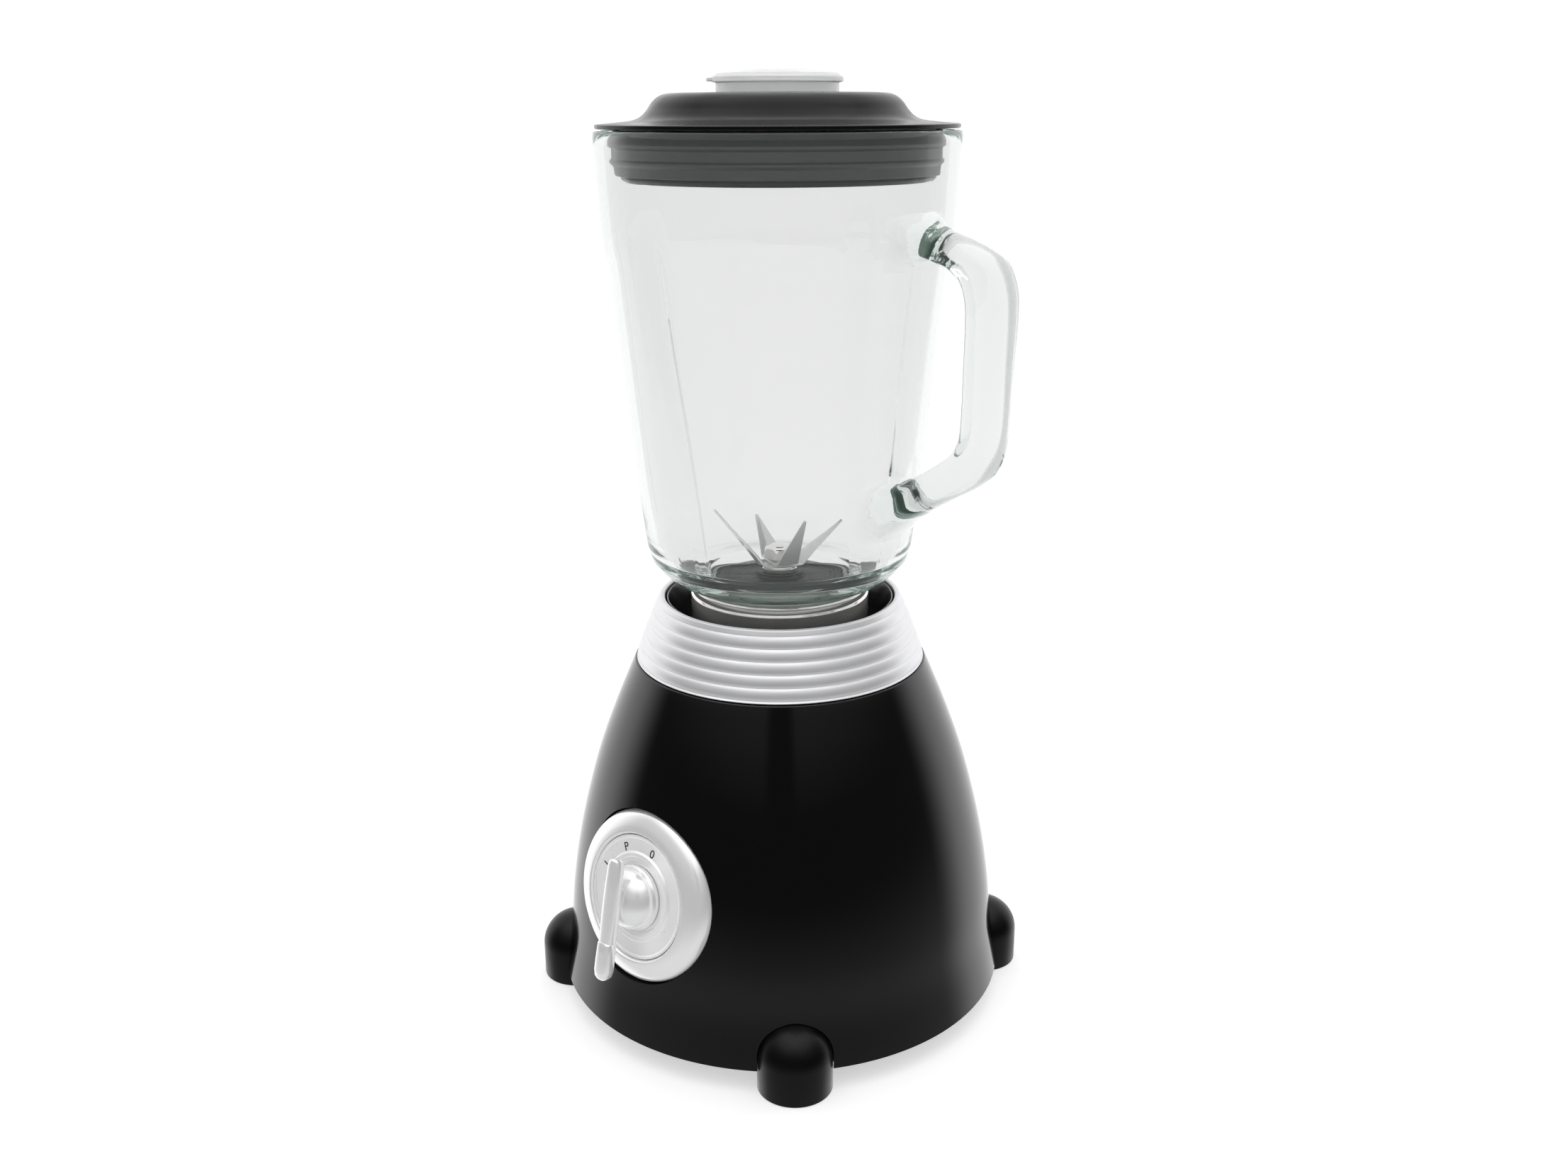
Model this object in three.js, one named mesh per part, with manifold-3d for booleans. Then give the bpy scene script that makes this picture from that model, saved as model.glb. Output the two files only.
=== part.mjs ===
// Countertop blender: motor base, glass jug with blades, lid and measuring cap.
// Millimetres, +Z up. The origin is the centre of the footprint box on the counter.
import * as THREE from 'three';
import { mergeVertices } from 'three/addons/utils/BufferGeometryUtils.js';
import Module from 'manifold-3d';

const wasm = await Module();
wasm.setup();

// ---- driving dimensions -------------------------------------------------
const AXIS_X = -6.5;           // motor axis, measured from the origin
const AXIS_Y = 4.0;
const GAP = 0.3;               // clearance between neighbouring pieces
const FINE = 28;               // facets round the large shells
const MEDIUM = 20;
const COARSE = 16;
const DOME_STEPS = 4;

const HOUSING_R = 100;
const HOUSING_Z = 9.8;
const HOUSING_TOP_R = 63.7;
const HOUSING_TOP = 155.8;
const SHELL = 3;
const DECK = { top: 154, under: 150, hole: 42 };

const COLLAR_TOP = 184;        // chrome collar
const WELL_FLOOR = 160.3;      // inside the jar seat
const REST_TOP = 162.9;        // pads that the seated jug stands on

const FOOT_R = 15.75;
const FOOT_RING = 95;          // from the motor axis to each foot's axis
const FOOT_TOP = 30;
const FOOT_STRAIGHT = 15;
const SCREW_RING = 72;

const DIAL = { out: 91.6, z: 72.6, tilt: 11.5 };     // centre of the dial's face and its tilt back
const BEZEL_R = 36.6;
const BEZEL_DEPTH = 10.8;
const FACE_R = 28.4;
const PLATE_R = 26;

const SHAFT_R = 4;
const STACK = { low: 84, high: 118 };              // motor laminations
const POLE_BORE = 26.4;

const NECK_Z = 180;            // lower face of the jug's neck
const NECK_R = 35;
const NECK_BORE = 31;
const RIM_Z = 376.5;
const BLADE_AZIMUTH = 66;
const PIN_RING = 37;           // safety pin, from the motor axis
const HANDLE_WIDTH = 20;

// ---- finishes -----------------------------------------------------------
const finish = (color, roughness, metalness, extra = {}) =>
  new THREE.MeshStandardMaterial({ color, roughness, metalness, ...extra });
const glossBlack = finish(0x060607, 0.12, 0);
const satinBlack = finish(0x0d0d0e, 0.4, 0);
const mattBlack = finish(0x1a1a1b, 0.75, 0);
const rubberBlack = finish(0x141414, 0.9, 0);
const chrome = finish(0xd4d4d8, 0.15, 1);
const steel = finish(0xb9bbbd, 0.35, 1);
const glass = finish(0xe4efe9, 0.05, 0, { transparent: true, opacity: 0.35 });
const clearPlastic = finish(0xf1f1f1, 0.1, 0, { transparent: true, opacity: 0.4 });
const copper = finish(0xb3602c, 0.4, 1);
const castAluminium = finish(0x9c9ea0, 0.5, 1);
const ivoryPlastic = finish(0xd9d4c4, 0.6, 0);

// ---- helpers ------------------------------------------------------------
const radians = THREE.MathUtils.degToRad;

/** Shared vertices, no collapsed triangles, faces pointing out. */
function weld(geometry) {
  const bare = geometry.clone();
  bare.deleteAttribute('normal');
  bare.deleteAttribute('uv');
  const merged = mergeVertices(bare, 1e-4);
  const kept = [];
  const corner = [new THREE.Vector3(), new THREE.Vector3(), new THREE.Vector3()];
  let volume = 0;
  for (let i = 0; i < merged.index.count; i += 3) {
    const ids = [0, 1, 2].map((k) => merged.index.getX(i + k));
    if (new Set(ids).size < 3) continue;
    kept.push(...ids);
    ids.forEach((id, k) => corner[k].fromBufferAttribute(merged.attributes.position, id));
    volume += corner[0].dot(corner[1].clone().cross(corner[2]));
  }
  merged.setIndex(volume < 0 ? kept.reverse() : kept);
  return merged;
}

function toManifold(geometry) {
  const welded = weld(geometry);
  return new wasm.Manifold(new wasm.Mesh({
    numProp: 3,
    vertProperties: new Float32Array(welded.attributes.position.array),
    triVerts: new Uint32Array(welded.index.array),
  }));
}

function fromManifold(solid) {
  const mesh = solid.getMesh();
  const geometry = new THREE.BufferGeometry();
  geometry.setAttribute('position', new THREE.BufferAttribute(new Float32Array(mesh.vertProperties), 3));
  geometry.setIndex(Array.from(mesh.triVerts));
  return geometry;
}

const join = (...parts) => fromManifold(parts.map(toManifold).reduce((a, b) => a.add(b)));
const cut = (body, ...tools) =>
  fromManifold(tools.map(toManifold).reduce((a, b) => a.subtract(b), toManifold(body)));

/** A closed [radius, height] outline turned about the Z axis. */
function turned(outline, facets = FINE) {
  const points = outline.map(([r, z]) => new THREE.Vector2(r, z));
  const onAxis = outline[0][0] === 0 && outline[outline.length - 1][0] === 0;
  if (!onAxis) points.push(points[0].clone());
  return weld(new THREE.LatheGeometry(points, facets).rotateX(Math.PI / 2));
}

const disc = (r, low, high, facets = MEDIUM) => turned([[0, low], [r, low], [r, high], [0, high]], facets);
const ring = (inner, outer, low, high, facets = MEDIUM) =>
  turned([[inner, low], [outer, low], [outer, high], [inner, high]], facets);

function box(x0, x1, y0, y1, z0, z1) {
  return new THREE.BoxGeometry(x1 - x0, y1 - y0, z1 - z0)
    .translate((x0 + x1) / 2, (y0 + y1) / 2, (z0 + z1) / 2);
}

/** An XY outline (THREE.Shape) raised from z = low to z = high. */
const prism = (shape, low, high, curveSegments = 8) =>
  new THREE.ExtrudeGeometry(shape, { depth: high - low, bevelEnabled: false, curveSegments })
    .translate(0, 0, low);

const polygon = (points) => new THREE.Shape(points.map(([x, y]) => new THREE.Vector2(x, y)));

/** A gear-like outline: alternate long and short radii. */
function star(lobes, outer, inner, share = 0.5) {
  const points = [];
  for (let i = 0; i < lobes; i += 1) {
    const step = (2 * Math.PI) / lobes;
    [[-share / 2, outer], [share / 2, outer], [share / 2 + 0.08, inner], [1 - share / 2 - 0.08, inner]]
      .forEach(([turn, r]) => {
        const angle = (i + turn) * step;
        points.push([r * Math.cos(angle), r * Math.sin(angle)]);
      });
  }
  return polygon(points);
}

const spun = (geometry, degrees) => geometry.clone().rotateZ(radians(degrees));
const atRadius = (geometry, radius, degrees) =>
  geometry.clone().translate(radius, 0, 0).rotateZ(radians(degrees));

function piece(name, geometry, material) {
  const mesh = new THREE.Mesh(weld(geometry), material);
  mesh.name = name;
  return mesh;
}

const group = (...children) => {
  const made = new THREE.Group();
  made.add(...children);
  return made;
};

const CORNERS = [45, 135, 225, 315];
const CORNER_NAMES = ['back_right', 'back_left', 'front_left', 'front_right'];

/** Dial frame: +X to the right, +Y up the face, +Z straight out of the face. */
function placeOnDial(object) {
  object.position.set(0, -DIAL.out, DIAL.z);
  object.rotation.x = radians(90 - DIAL.tilt);
  object.updateMatrix();
  return object;
}

const dialFrame = placeOnDial(new THREE.Object3D()).matrix;

// ---- base ---------------------------------------------------------------
const HOUSING_SIDE = [
  [HOUSING_R, HOUSING_Z], [96.9, 30], [94.7, 51.5], [91.3, 72.3],
  [86.5, 93.2], [80.4, 114], [72.6, 134.9], [HOUSING_TOP_R, HOUSING_TOP],
];

const bulletOutline = (grow) => {
  const dome = [];
  for (let i = 0; i <= DOME_STEPS; i += 1) {
    const angle = (i / DOME_STEPS) * (Math.PI / 2);
    const rise = (FOOT_TOP + grow - FOOT_STRAIGHT) * Math.sin(angle);
    dome.push([i === DOME_STEPS ? 0 : (FOOT_R + grow) * Math.cos(angle), FOOT_STRAIGHT + rise]);
  }
  return dome;
};

const footClearance = () => turned([[0, -5], [FOOT_R + GAP, -5], ...bulletOutline(GAP)], COARSE);

function motorHousing() {
  const inner = HOUSING_SIDE.slice(0, -1).reverse().map(([r, z]) => [r - SHELL, z]);
  const shell = turned([
    ...HOUSING_SIDE, [60.5, HOUSING_TOP], [60.5, DECK.top], [DECK.hole, DECK.top],
    [DECK.hole, DECK.under], [62.6, DECK.under], ...inner,
  ]);
  const posts = CORNERS.map((turn) => join(
    atRadius(disc(5.5, 17.8, 60, 10), SCREW_RING, turn),
    spun(box(SCREW_RING, 91.5, -1.5, 1.5, 36, 60), turn),
  ));
  const holes = CORNERS.flatMap((turn) => [
    atRadius(footClearance(), FOOT_RING, turn),
    atRadius(disc(2.3, 10, 42, 10), SCREW_RING, turn),
  ]);
  const dialHole = disc(5, -30, 20, COARSE).applyMatrix4(dialFrame);
  const bezelSeat = disc(BEZEL_R + 2 * GAP, -BEZEL_DEPTH - GAP, 20).applyMatrix4(dialFrame);
  const bezelFloor = disc(BEZEL_R + SHELL, -BEZEL_DEPTH - GAP - SHELL, -5).applyMatrix4(dialFrame);
  const glandHole = disc(7, 0, 30, COARSE).rotateX(-Math.PI / 2).translate(0, 85, 24);
  const body = join(shell, ...posts);
  const pocket = fromManifold(toManifold(bezelFloor).intersect(toManifold(disc(90, 20, 125))));
  return cut(join(body, pocket), bezelSeat, dialHole, glandHole, ...holes);
}

function chromeCollar() {
  return turned([
    [63.4, 156.1], [60.9, 163.8], [57.9, 171.9], [54.6, 180], [52.9, 182.8], [51.4, COLLAR_TOP],
    [50.2, COLLAR_TOP], [49.8, 182.6], [52.2, 180], [55.5, 171.9], [58.5, 163.8], [61, 156.1],
  ]);
}

function jarSeat() {
  const cup = turned([
    [10, WELL_FLOOR], [10, 162.3], [8, 162.3], [8, 157.2], [43, 157.2], [43, DECK.top + GAP],
    [59.8, DECK.top + GAP], [59.8, 157.2], [45, 157.2], [45, 166], [49.4, 181], [49.2, 183],
    [48.6, 183], [41.4, 165], [41.4, WELL_FLOOR],
  ]);
  const keys = CORNERS.flatMap((turn) => [
    spun(box(33, 42.6, -4, 4, 159.5, REST_TOP), turn),
    spun(box(37.6, 42.6, -4, 4, 159.5, 168), turn),
  ]);
  const pinHole = atRadius(disc(2.5, 150, 170, 16), PIN_RING, 90);
  return cut(join(cup, ...keys), pinHole);
}

function bottomCover() {
  const plate = disc(96.3, 10, 13, FINE);
  const openings = CORNERS.flatMap((turn) => [
    atRadius(footClearance(), FOOT_RING, turn),
    atRadius(disc(2.3, 5, 20, 10), SCREW_RING, turn),
  ]);
  const slots = [-24, -16, -8, 0, 8, 16, 24].map((y) => box(-30, 30, y - 2, y + 2, 5, 20));
  return cut(plate, ...openings, ...slots);
}

function foot() {
  const bullet = turned([
    [0, 3.3], [12.3, 3.3], [12.3, 0.4], [14.6, 0.4], [FOOT_R, 2], ...bulletOutline(0),
  ], COARSE);
  const tab = box(SCREW_RING - FOOT_RING - 8, -8, -7, 7, 13.3, 17.3);
  const hole = disc(2.3, 10, 20, 10).translate(SCREW_RING - FOOT_RING, 0, 0);
  return cut(join(bullet, tab), hole);
}

const footScrew = () => turned([[0, 7.4], [3.6, 7.4], [3.6, 9.7], [1.9, 9.7], [1.9, 35], [0, 35]], 12);

function cordGland() {
  const body = turned([
    [3.8, -9], [6.6, -9], [6.6, 0.6], [9, 0.6], [9, 3], [6.4, 7.5], [3.8, 7.5],
  ], COARSE);
  return body.rotateX(-Math.PI / 2).translate(0, 99.4, 24);
}

function baseShell() {
  const made = group(
    piece('motor_housing', motorHousing(), glossBlack),
    piece('chrome_collar', chromeCollar(), chrome),
    piece('jar_seat', jarSeat(), glossBlack),
    piece('bottom_cover', bottomCover(), mattBlack),
    piece('cord_gland', cordGland(), mattBlack),
  );
  CORNERS.forEach((turn, i) => {
    const corner = group(
      piece(`foot_${CORNER_NAMES[i]}`, foot(), satinBlack),
      piece(`foot_pad_${CORNER_NAMES[i]}`, disc(12, 0, 3, COARSE), rubberBlack),
    );
    corner.position.set(FOOT_RING * Math.cos(radians(turn)), FOOT_RING * Math.sin(radians(turn)), 0);
    corner.rotation.z = radians(turn);
    const screw = piece(`base_screw_${CORNER_NAMES[i]}`, footScrew(), steel);
    screw.position.set(SCREW_RING * Math.cos(radians(turn)), SCREW_RING * Math.sin(radians(turn)), 0);
    made.add(corner, screw);
  });
  return made;
}

// ---- dial, switch and safety pin ----------------------------------------
function dialBezel() {
  return turned([
    [PLATE_R + GAP, -2.6], [PLATE_R + GAP, -0.6], [PLATE_R + 1, 0], [FACE_R, 0],
    [32.1, -1.3], [34.5, -2.6], [35.6, -4.2], [36.2, -6], [BEZEL_R, -BEZEL_DEPTH],
    [5, -BEZEL_DEPTH], [5, -2.6],
  ], MEDIUM);
}

function dialPlate() {
  return turned([
    [5, -2.3], [PLATE_R, -2.3], [PLATE_R, -1], [PLATE_R - 1.5, -1.4], [18.6, -1.4], [18, -0.2],
    [15, -0.2], [15, -1.4], [5, -1.4],
  ], MEDIUM);
}

function controlKnob() {
  const dome = [];
  for (let i = 0; i <= DOME_STEPS; i += 1) {
    const angle = (i / DOME_STEPS) * (Math.PI / 2);
    dome.push([i === DOME_STEPS ? 0 : 11.6 * Math.cos(angle), 1 + 11.4 * Math.sin(angle)]);
  }
  const hub = turned([[0, -1], [13.6, -1], [13.6, 0.4], ...dome], MEDIUM);
  const bar = polygon([
    [-3.2, -22], [-3.9, 0], [-3.4, 17], [-1.8, 19], [1.8, 19], [3.4, 17], [3.9, 0], [3.2, -22],
  ]);
  const grip = new THREE.Shape();
  grip.moveTo(3.2, -17);
  grip.lineTo(-3.2, -17);
  grip.lineTo(-3.9, -29.3);
  grip.absarc(0, -29.3, 3.9, Math.PI, 2 * Math.PI, false);
  const socket = disc(3.3, -5, 4.2, 16);
  return cut(join(hub, prism(bar, 9.9, 15.5), prism(grip, 9.6, 16)), socket);
}

function rotarySwitch() {
  const can = disc(16, -30, -14.5, 24);
  const tags = [-8, 0, 8].map((x) => box(x - 2, x + 2, -5, 5, -35, -29));
  return cut(join(can, ...tags), disc(3.4, -27, 0, 16));
}

function dial() {
  return placeOnDial(group(
    piece('dial_bezel', dialBezel(), chrome),
    piece('dial_plate', dialPlate(), chrome),
    piece('control_knob', controlKnob(), chrome),
    piece('knob_spindle', disc(2.9, -26, 3.8, 16), steel),
    piece('rotary_switch', rotarySwitch(), mattBlack),
  ));
}

function interlockSpring() {
  const turns = 3;
  const steps = 30;
  const path = new THREE.CatmullRomCurve3(Array.from({ length: steps + 1 }, (_, i) => {
    const angle = (i / steps) * turns * 2 * Math.PI;
    return new THREE.Vector3(2.7 * Math.cos(angle), 2.7 * Math.sin(angle), 140.2 + (i / steps) * 6);
  }));
  const wire = polygon([[0.4, 0], [0, 0.4], [-0.4, 0], [0, -0.4]]);
  return new THREE.ExtrudeGeometry(wire, { steps: 34, bevelEnabled: false, extrudePath: path });
}

function safetyInterlock() {
  const pin = turned([
    [0, 146], [1.4, 146], [1.4, 147], [3.6, 147], [3.6, 148.5], [2.1, 148.5], [2.1, 162], [0, 162.6],
  ], 16);
  const body = join(
    box(-10, 10, -6, 6, 128, 139.6),
    box(-10, 10, 5.5, 9, 130, DECK.under - GAP),
  );
  const made = group(
    piece('interlock_pin', pin, mattBlack),
    piece('interlock_spring', interlockSpring(), steel),
    piece('micro_switch', body, mattBlack),
  );
  made.position.y = PIN_RING;
  return made;
}

// ---- motor --------------------------------------------------------------
function statorCore() {
  const outline = polygon([
    [-46, -30], [-38, -38], [38, -38], [46, -30], [46, 30], [38, 38], [-38, 38], [-46, 30],
  ]);
  const bore = new THREE.Path();
  bore.absarc(0, 0, POLE_BORE, 0, 2 * Math.PI, true);
  outline.holes.push(bore);
  [[1, 1], [1, -1], [-1, 1], [-1, -1]].forEach(([sx, sy]) => {
    const corners = [[28, 14.2], [37, 14.2], [37, 25.5], [28, 25.5]];
    const slot = corners.map(([x, y]) => new THREE.Vector2(sx * x, sy * y));
    outline.holes.push(new THREE.Path(slot));
  });
  return prism(outline, STACK.low, STACK.high, 10);
}

function fieldCoil(side) {
  const block = box(28.4, 36.6, -25, 25, 76, 126);
  const opening = box(20, 45, -14.6, 14.6, STACK.low - GAP, STACK.high + GAP);
  const coil = cut(block, opening);
  return side > 0 ? coil : coil.rotateZ(Math.PI);
}

function upperBracket() {
  const frame = join(
    box(-58, 58, -13, 13, 138, 142),
    disc(15, 130, 142, 24),
    box(40, 44, -10, 10, STACK.high + GAP, 139),
    box(-44, -40, -10, 10, STACK.high + GAP, 139),
  );
  return cut(frame, disc(11.35, 125, 138.4, 24), disc(4.8, 125, 150, 16));
}

function lowerBracket() {
  const frame = join(
    box(-46, 46, -13, 13, 52, 56),
    box(-8, 8, -38, 38, 52, 56),
    disc(15, 46, 56, 24),
    box(40, 44, -10, 10, 55, STACK.low - GAP),
    box(-44, -40, -10, 10, 55, STACK.low - GAP),
  );
  return cut(frame, disc(11.35, 40, 54.4, 24), disc(4.8, 40, 60, 16));
}

function brushHolder() {
  return cut(box(-6, 6, 15, 38, 56.3, 73.5), box(-3.3, 3.3, 10, 35, 63, 71));
}

function coolingFan() {
  const blades = Array.from({ length: 9 }, (_, i) => spun(box(7, 38, -1, 1, 30, 39), i * 40));
  const wheel = join(disc(40, 38.5, 41, MEDIUM), disc(8, 30, 41, COARSE), ...blades);
  return cut(wheel, disc(SHAFT_R + GAP, 25, 45, 16));
}

function rotor() {
  const windingOutline = (low, high, lift) => [
    [8, low], [24, low], [24, low + 2 * lift], [20, high], [9, high],
  ];
  return group(
    piece('motor_shaft', disc(SHAFT_R, 27, 170.5, 16), steel),
    piece('armature_core', cut(
      prism(star(12, 25.8, 22.5, 0.62), STACK.low, STACK.high),
      disc(SHAFT_R + GAP, 80, 122, 16),
    ), steel),
    piece('armature_winding_upper', turned(windingOutline(STACK.high + GAP, 127, 1.5), 24), copper),
    piece('armature_winding_lower', turned(windingOutline(STACK.low - GAP, 75.5, -1.5), 24), copper),
    piece('commutator', cut(
      prism(star(12, 11, 10.5, 0.8), 60, 75),
      disc(SHAFT_R + GAP, 55, 80, 16),
    ), copper),
    piece('cooling_fan', coolingFan(), mattBlack),
    piece('drive_coupling', driveCoupling(), steel),
  );
}

function motor() {
  const stator = group(
    piece('stator_core', statorCore(), steel),
    piece('field_coil_right', fieldCoil(1), copper),
    piece('field_coil_left', fieldCoil(-1), copper),
    piece('upper_bracket', upperBracket(), castAluminium),
    piece('lower_bracket', lowerBracket(), castAluminium),
    piece('upper_bearing', ring(SHAFT_R + GAP, 11, 131, 138, 24), steel),
    piece('lower_bearing', ring(SHAFT_R + GAP, 11, 47, 54, 24), steel),
    piece('motor_mount_right', ring(3, 7, 142.3, DECK.under - GAP, 16).translate(50, 0, 0), rubberBlack),
    piece('motor_mount_left', ring(3, 7, 142.3, DECK.under - GAP, 16).translate(-50, 0, 0), rubberBlack),
    piece('brush_holder_back', brushHolder(), ivoryPlastic),
    piece('brush_holder_front', brushHolder().rotateZ(Math.PI), ivoryPlastic),
    piece('carbon_brush_back', box(-3, 3, 11.5, 34, 63.3, 70.7), mattBlack),
    piece('carbon_brush_front', box(-3, 3, -34, -11.5, 63.3, 70.7), mattBlack),
  );
  return group(stator, rotor());
}

// ---- couplings and blades -----------------------------------------------
const LUGS = { count: 6, outer: 13, inner: 9.4, play: 0.45 };

function driveCoupling() {
  const teeth = prism(star(LUGS.count, LUGS.outer, LUGS.inner, 0.36), 166, 172.6);
  return cut(join(disc(16, 163.2, 166.2, MEDIUM), teeth), disc(SHAFT_R + GAP, 160, 170.8, 16));
}

function drivenCoupling() {
  const socket = star(LUGS.count, LUGS.outer + LUGS.play, LUGS.inner + LUGS.play, 0.46);
  return cut(disc(19, 166.9, 177, MEDIUM), prism(socket, 160, 173.2), disc(3.3, 160, 180, 16));
}

/** A flat strip bent up into two arms, cut to a point at each end. */
function blade(level, reach, rises, rootWidth) {
  const [left, right] = rises;
  const thick = 1.4;
  const bend = 8;
  const strip = polygon([
    [-reach, level + left], [-bend, level], [bend, level], [reach, level + right],
    [reach, level + right + 2 * thick], [bend - 0.6, level + thick], [0.6 - bend, level + thick],
    [-reach, level + left + 2 * thick],
  ]);
  const sheet = prism(strip, -10, 10).rotateX(Math.PI / 2);
  const outline = polygon([
    [-reach - 1, 1.2], [-bend, rootWidth], [bend, rootWidth], [reach + 1, -0.8],
    [reach + 1, -1.2], [bend, -rootWidth], [-bend, -rootWidth], [-reach - 1, 0.8],
  ]);
  const trimmed = toManifold(sheet).intersect(toManifold(prism(outline, level - 5, level + 40)));
  return cut(fromManifold(trimmed), disc(3.3, level - 5, level + 10, 16));
}

function bladeNut() {
  const dome = [[6.8, 202.4], [6, 204.2], [3.8, 205.2], [0, 205.5]];
  const nut = turned([[0, 199.8], [6.8, 199.8], ...dome], 6);
  return cut(nut, disc(3.3, 198, 203.8, 16));
}

function bladeAssembly() {
  return group(
    piece('blade_shaft', disc(3, 173.8, 203.4, 16), steel),
    piece('driven_coupling', drivenCoupling(), mattBlack),
    piece('blade_spacer', ring(3.3, 7.6, 191.3, 195.6, 16), steel),
    piece('lower_blade', spun(blade(195.9, 29, [26, 16], 5.5), BLADE_AZIMUTH), steel),
    piece('upper_blade', spun(blade(197.9, 29, [11.5, 23.5], 5), BLADE_AZIMUTH - 90), steel),
    piece('blade_nut', bladeNut(), steel),
  );
}

// ---- jug ----------------------------------------------------------------
const JUG_OUTSIDE = [
  [NECK_R, NECK_Z], [NECK_R, 188.4], [37.5, 190.9], [45.5, 192.6], [51, 196.8], [55.2, 202],
  [56.9, 208.5], [60.6, 238.4], [68.2, 315.4], [70.8, 333], [72, 347.3], [73.4, 374], [72.6, RIM_Z],
];
const JUG_INSIDE = [
  [71.2, RIM_Z], [69.2, 374], [67.9, 347.3], [66.8, 333], [64.3, 315.4],
  [56.6, 238.4], [52.8, 210], [50.4, 204.5], [45, 199.5], [36, 196.2], [NECK_BORE, 193], [NECK_BORE, NECK_Z],
];

/** Handle outline in the XZ plane: a D with sloping arms and rounded corners. */
function handle() {
  const outer = new THREE.Shape();
  outer.moveTo(66, 347.2);
  outer.lineTo(97.5, 337.2);
  outer.quadraticCurveTo(113, 332.5, 113, 314);
  outer.lineTo(111.2, 272);
  outer.quadraticCurveTo(110.6, 252.4, 100, 246);
  outer.lineTo(56, 220);
  outer.lineTo(56, 235.7);
  outer.lineTo(86, 254.8);
  outer.quadraticCurveTo(96.3, 261, 96.5, 272);
  outer.lineTo(96.6, 314);
  outer.quadraticCurveTo(96.6, 325.5, 87.5, 328.4);
  outer.lineTo(66, 335.2);
  const bevel = 2.2;
  const bar = new THREE.ExtrudeGeometry(outer, {
    depth: HANDLE_WIDTH - 2 * bevel,
    bevelThickness: bevel,
    bevelSize: bevel,
    bevelOffset: -bevel,
    bevelSegments: 1,
    curveSegments: 4,
  });
  return bar.translate(0, 0, bevel - HANDLE_WIDTH / 2).rotateX(Math.PI / 2);
}

function glassJug() {
  const wall = turned([...JUG_OUTSIDE, ...JUG_INSIDE]);
  const hollow = turned([[0, 170], [40, 170], [40, 196.6], ...JUG_INSIDE.slice(0, -3).reverse().slice(1),
    [71.2, 385], [0, 385]]);
  return join(wall, cut(handle(), hollow));
}

function jarCollar() {
  const nut = turned([
    [38.6, 163.2], [38.6, 188], [NECK_R + 0.9, 188], [NECK_R + 0.9, 174.8], [26.5, 174.8],
    [26.5, 171.5], [35.6, 171.5], [35.6, 163.2],
  ], MEDIUM);
  const keyways = CORNERS.map((turn) => spun(box(37.2, 45, -5, 5, 150, 178), turn));
  return cut(nut, ...keyways);
}

function bladeCarrier() {
  return turned([
    [34.8, 175.2], [34.8, 178], [30.4, 178], [30.4, 188.4], [29.2, 189.6], [11, 189.6],
    [10, 191], [6.6, 191], [6.6, 180.6], [23, 180.6], [23, 175.2],
  ], MEDIUM);
}

function jug() {
  return group(
    piece('glass_jug', glassJug(), glass),
    piece('jar_collar', jarCollar(), chrome),
    piece('jug_gasket', ring(NECK_BORE + GAP, 34.8, 178.3, 179.7), rubberBlack),
    piece('blade_carrier', bladeCarrier(), satinBlack),
    piece('blade_bush', ring(3.3, 6.2, 181, 188.2, 16), castAluminium),
    piece('shaft_seal', ring(3.3, 6.2, 188.5, 190.8, 16), rubberBlack),
    bladeAssembly(),
  );
}

// ---- lid ----------------------------------------------------------------
function lid() {
  return turned([
    [63, 377], [72.4, 377.2], [72.4, 378.8], [53.8, 381.2], [50.8, 387],
    [44.6, 390.6], [25, 390.6], [25, 374], [23, 374], [23, 372], [27.2, 372], [27.2, 388],
    [43.6, 388], [50, 379.4], [60, 377.6], [60, 357.3], [61.4, 357.3], [63, 359.6],
  ]);
}

function lidSeal() {
  return turned([
    [63.3, 359.8], [65.2, 359.8], [65.2, 363], [67, 365], [65, 367], [65, 368.6], [67.8, 371],
    [65, 373.4], [65, 376.6], [63.3, 376.6],
  ]);
}

function measuringCap() {
  const cup = turned([
    [24.4, 374.4], [24.4, 394.2], [26.1, 394.6], [26.1, 396.4], [24, 397.8], [15, 399.2], [0, 399.5],
    [0, 397.5], [15, 397.2], [22.4, 395.6], [22.4, 374.4],
  ], MEDIUM);
  const tab = polygon([[22.6, -8], [26.2, -4.6], [28.2, 0], [26.2, 4.6], [22.6, 8]]);
  return join(cup, spun(prism(tab, 394.7, 396.3), 221));
}

function lidAssembly() {
  return group(
    piece('lid', lid(), satinBlack),
    piece('lid_seal', lidSeal(), rubberBlack),
    piece('measuring_cap', measuringCap(), clearPlastic),
  );
}

// ---- the whole blender --------------------------------------------------
const blender = group(baseShell(), dial(), safetyInterlock(), motor(), jug(), lidAssembly());
blender.position.set(AXIS_X, AXIS_Y, 0);

export default blender;
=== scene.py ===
"""Countertop blender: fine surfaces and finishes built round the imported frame.

The piece builders work in millimetres about the motor axis, +Z up. The helpers turn that into metres.
"""
import math

import bmesh
import bpy
from mathutils import Matrix, Vector


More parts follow.
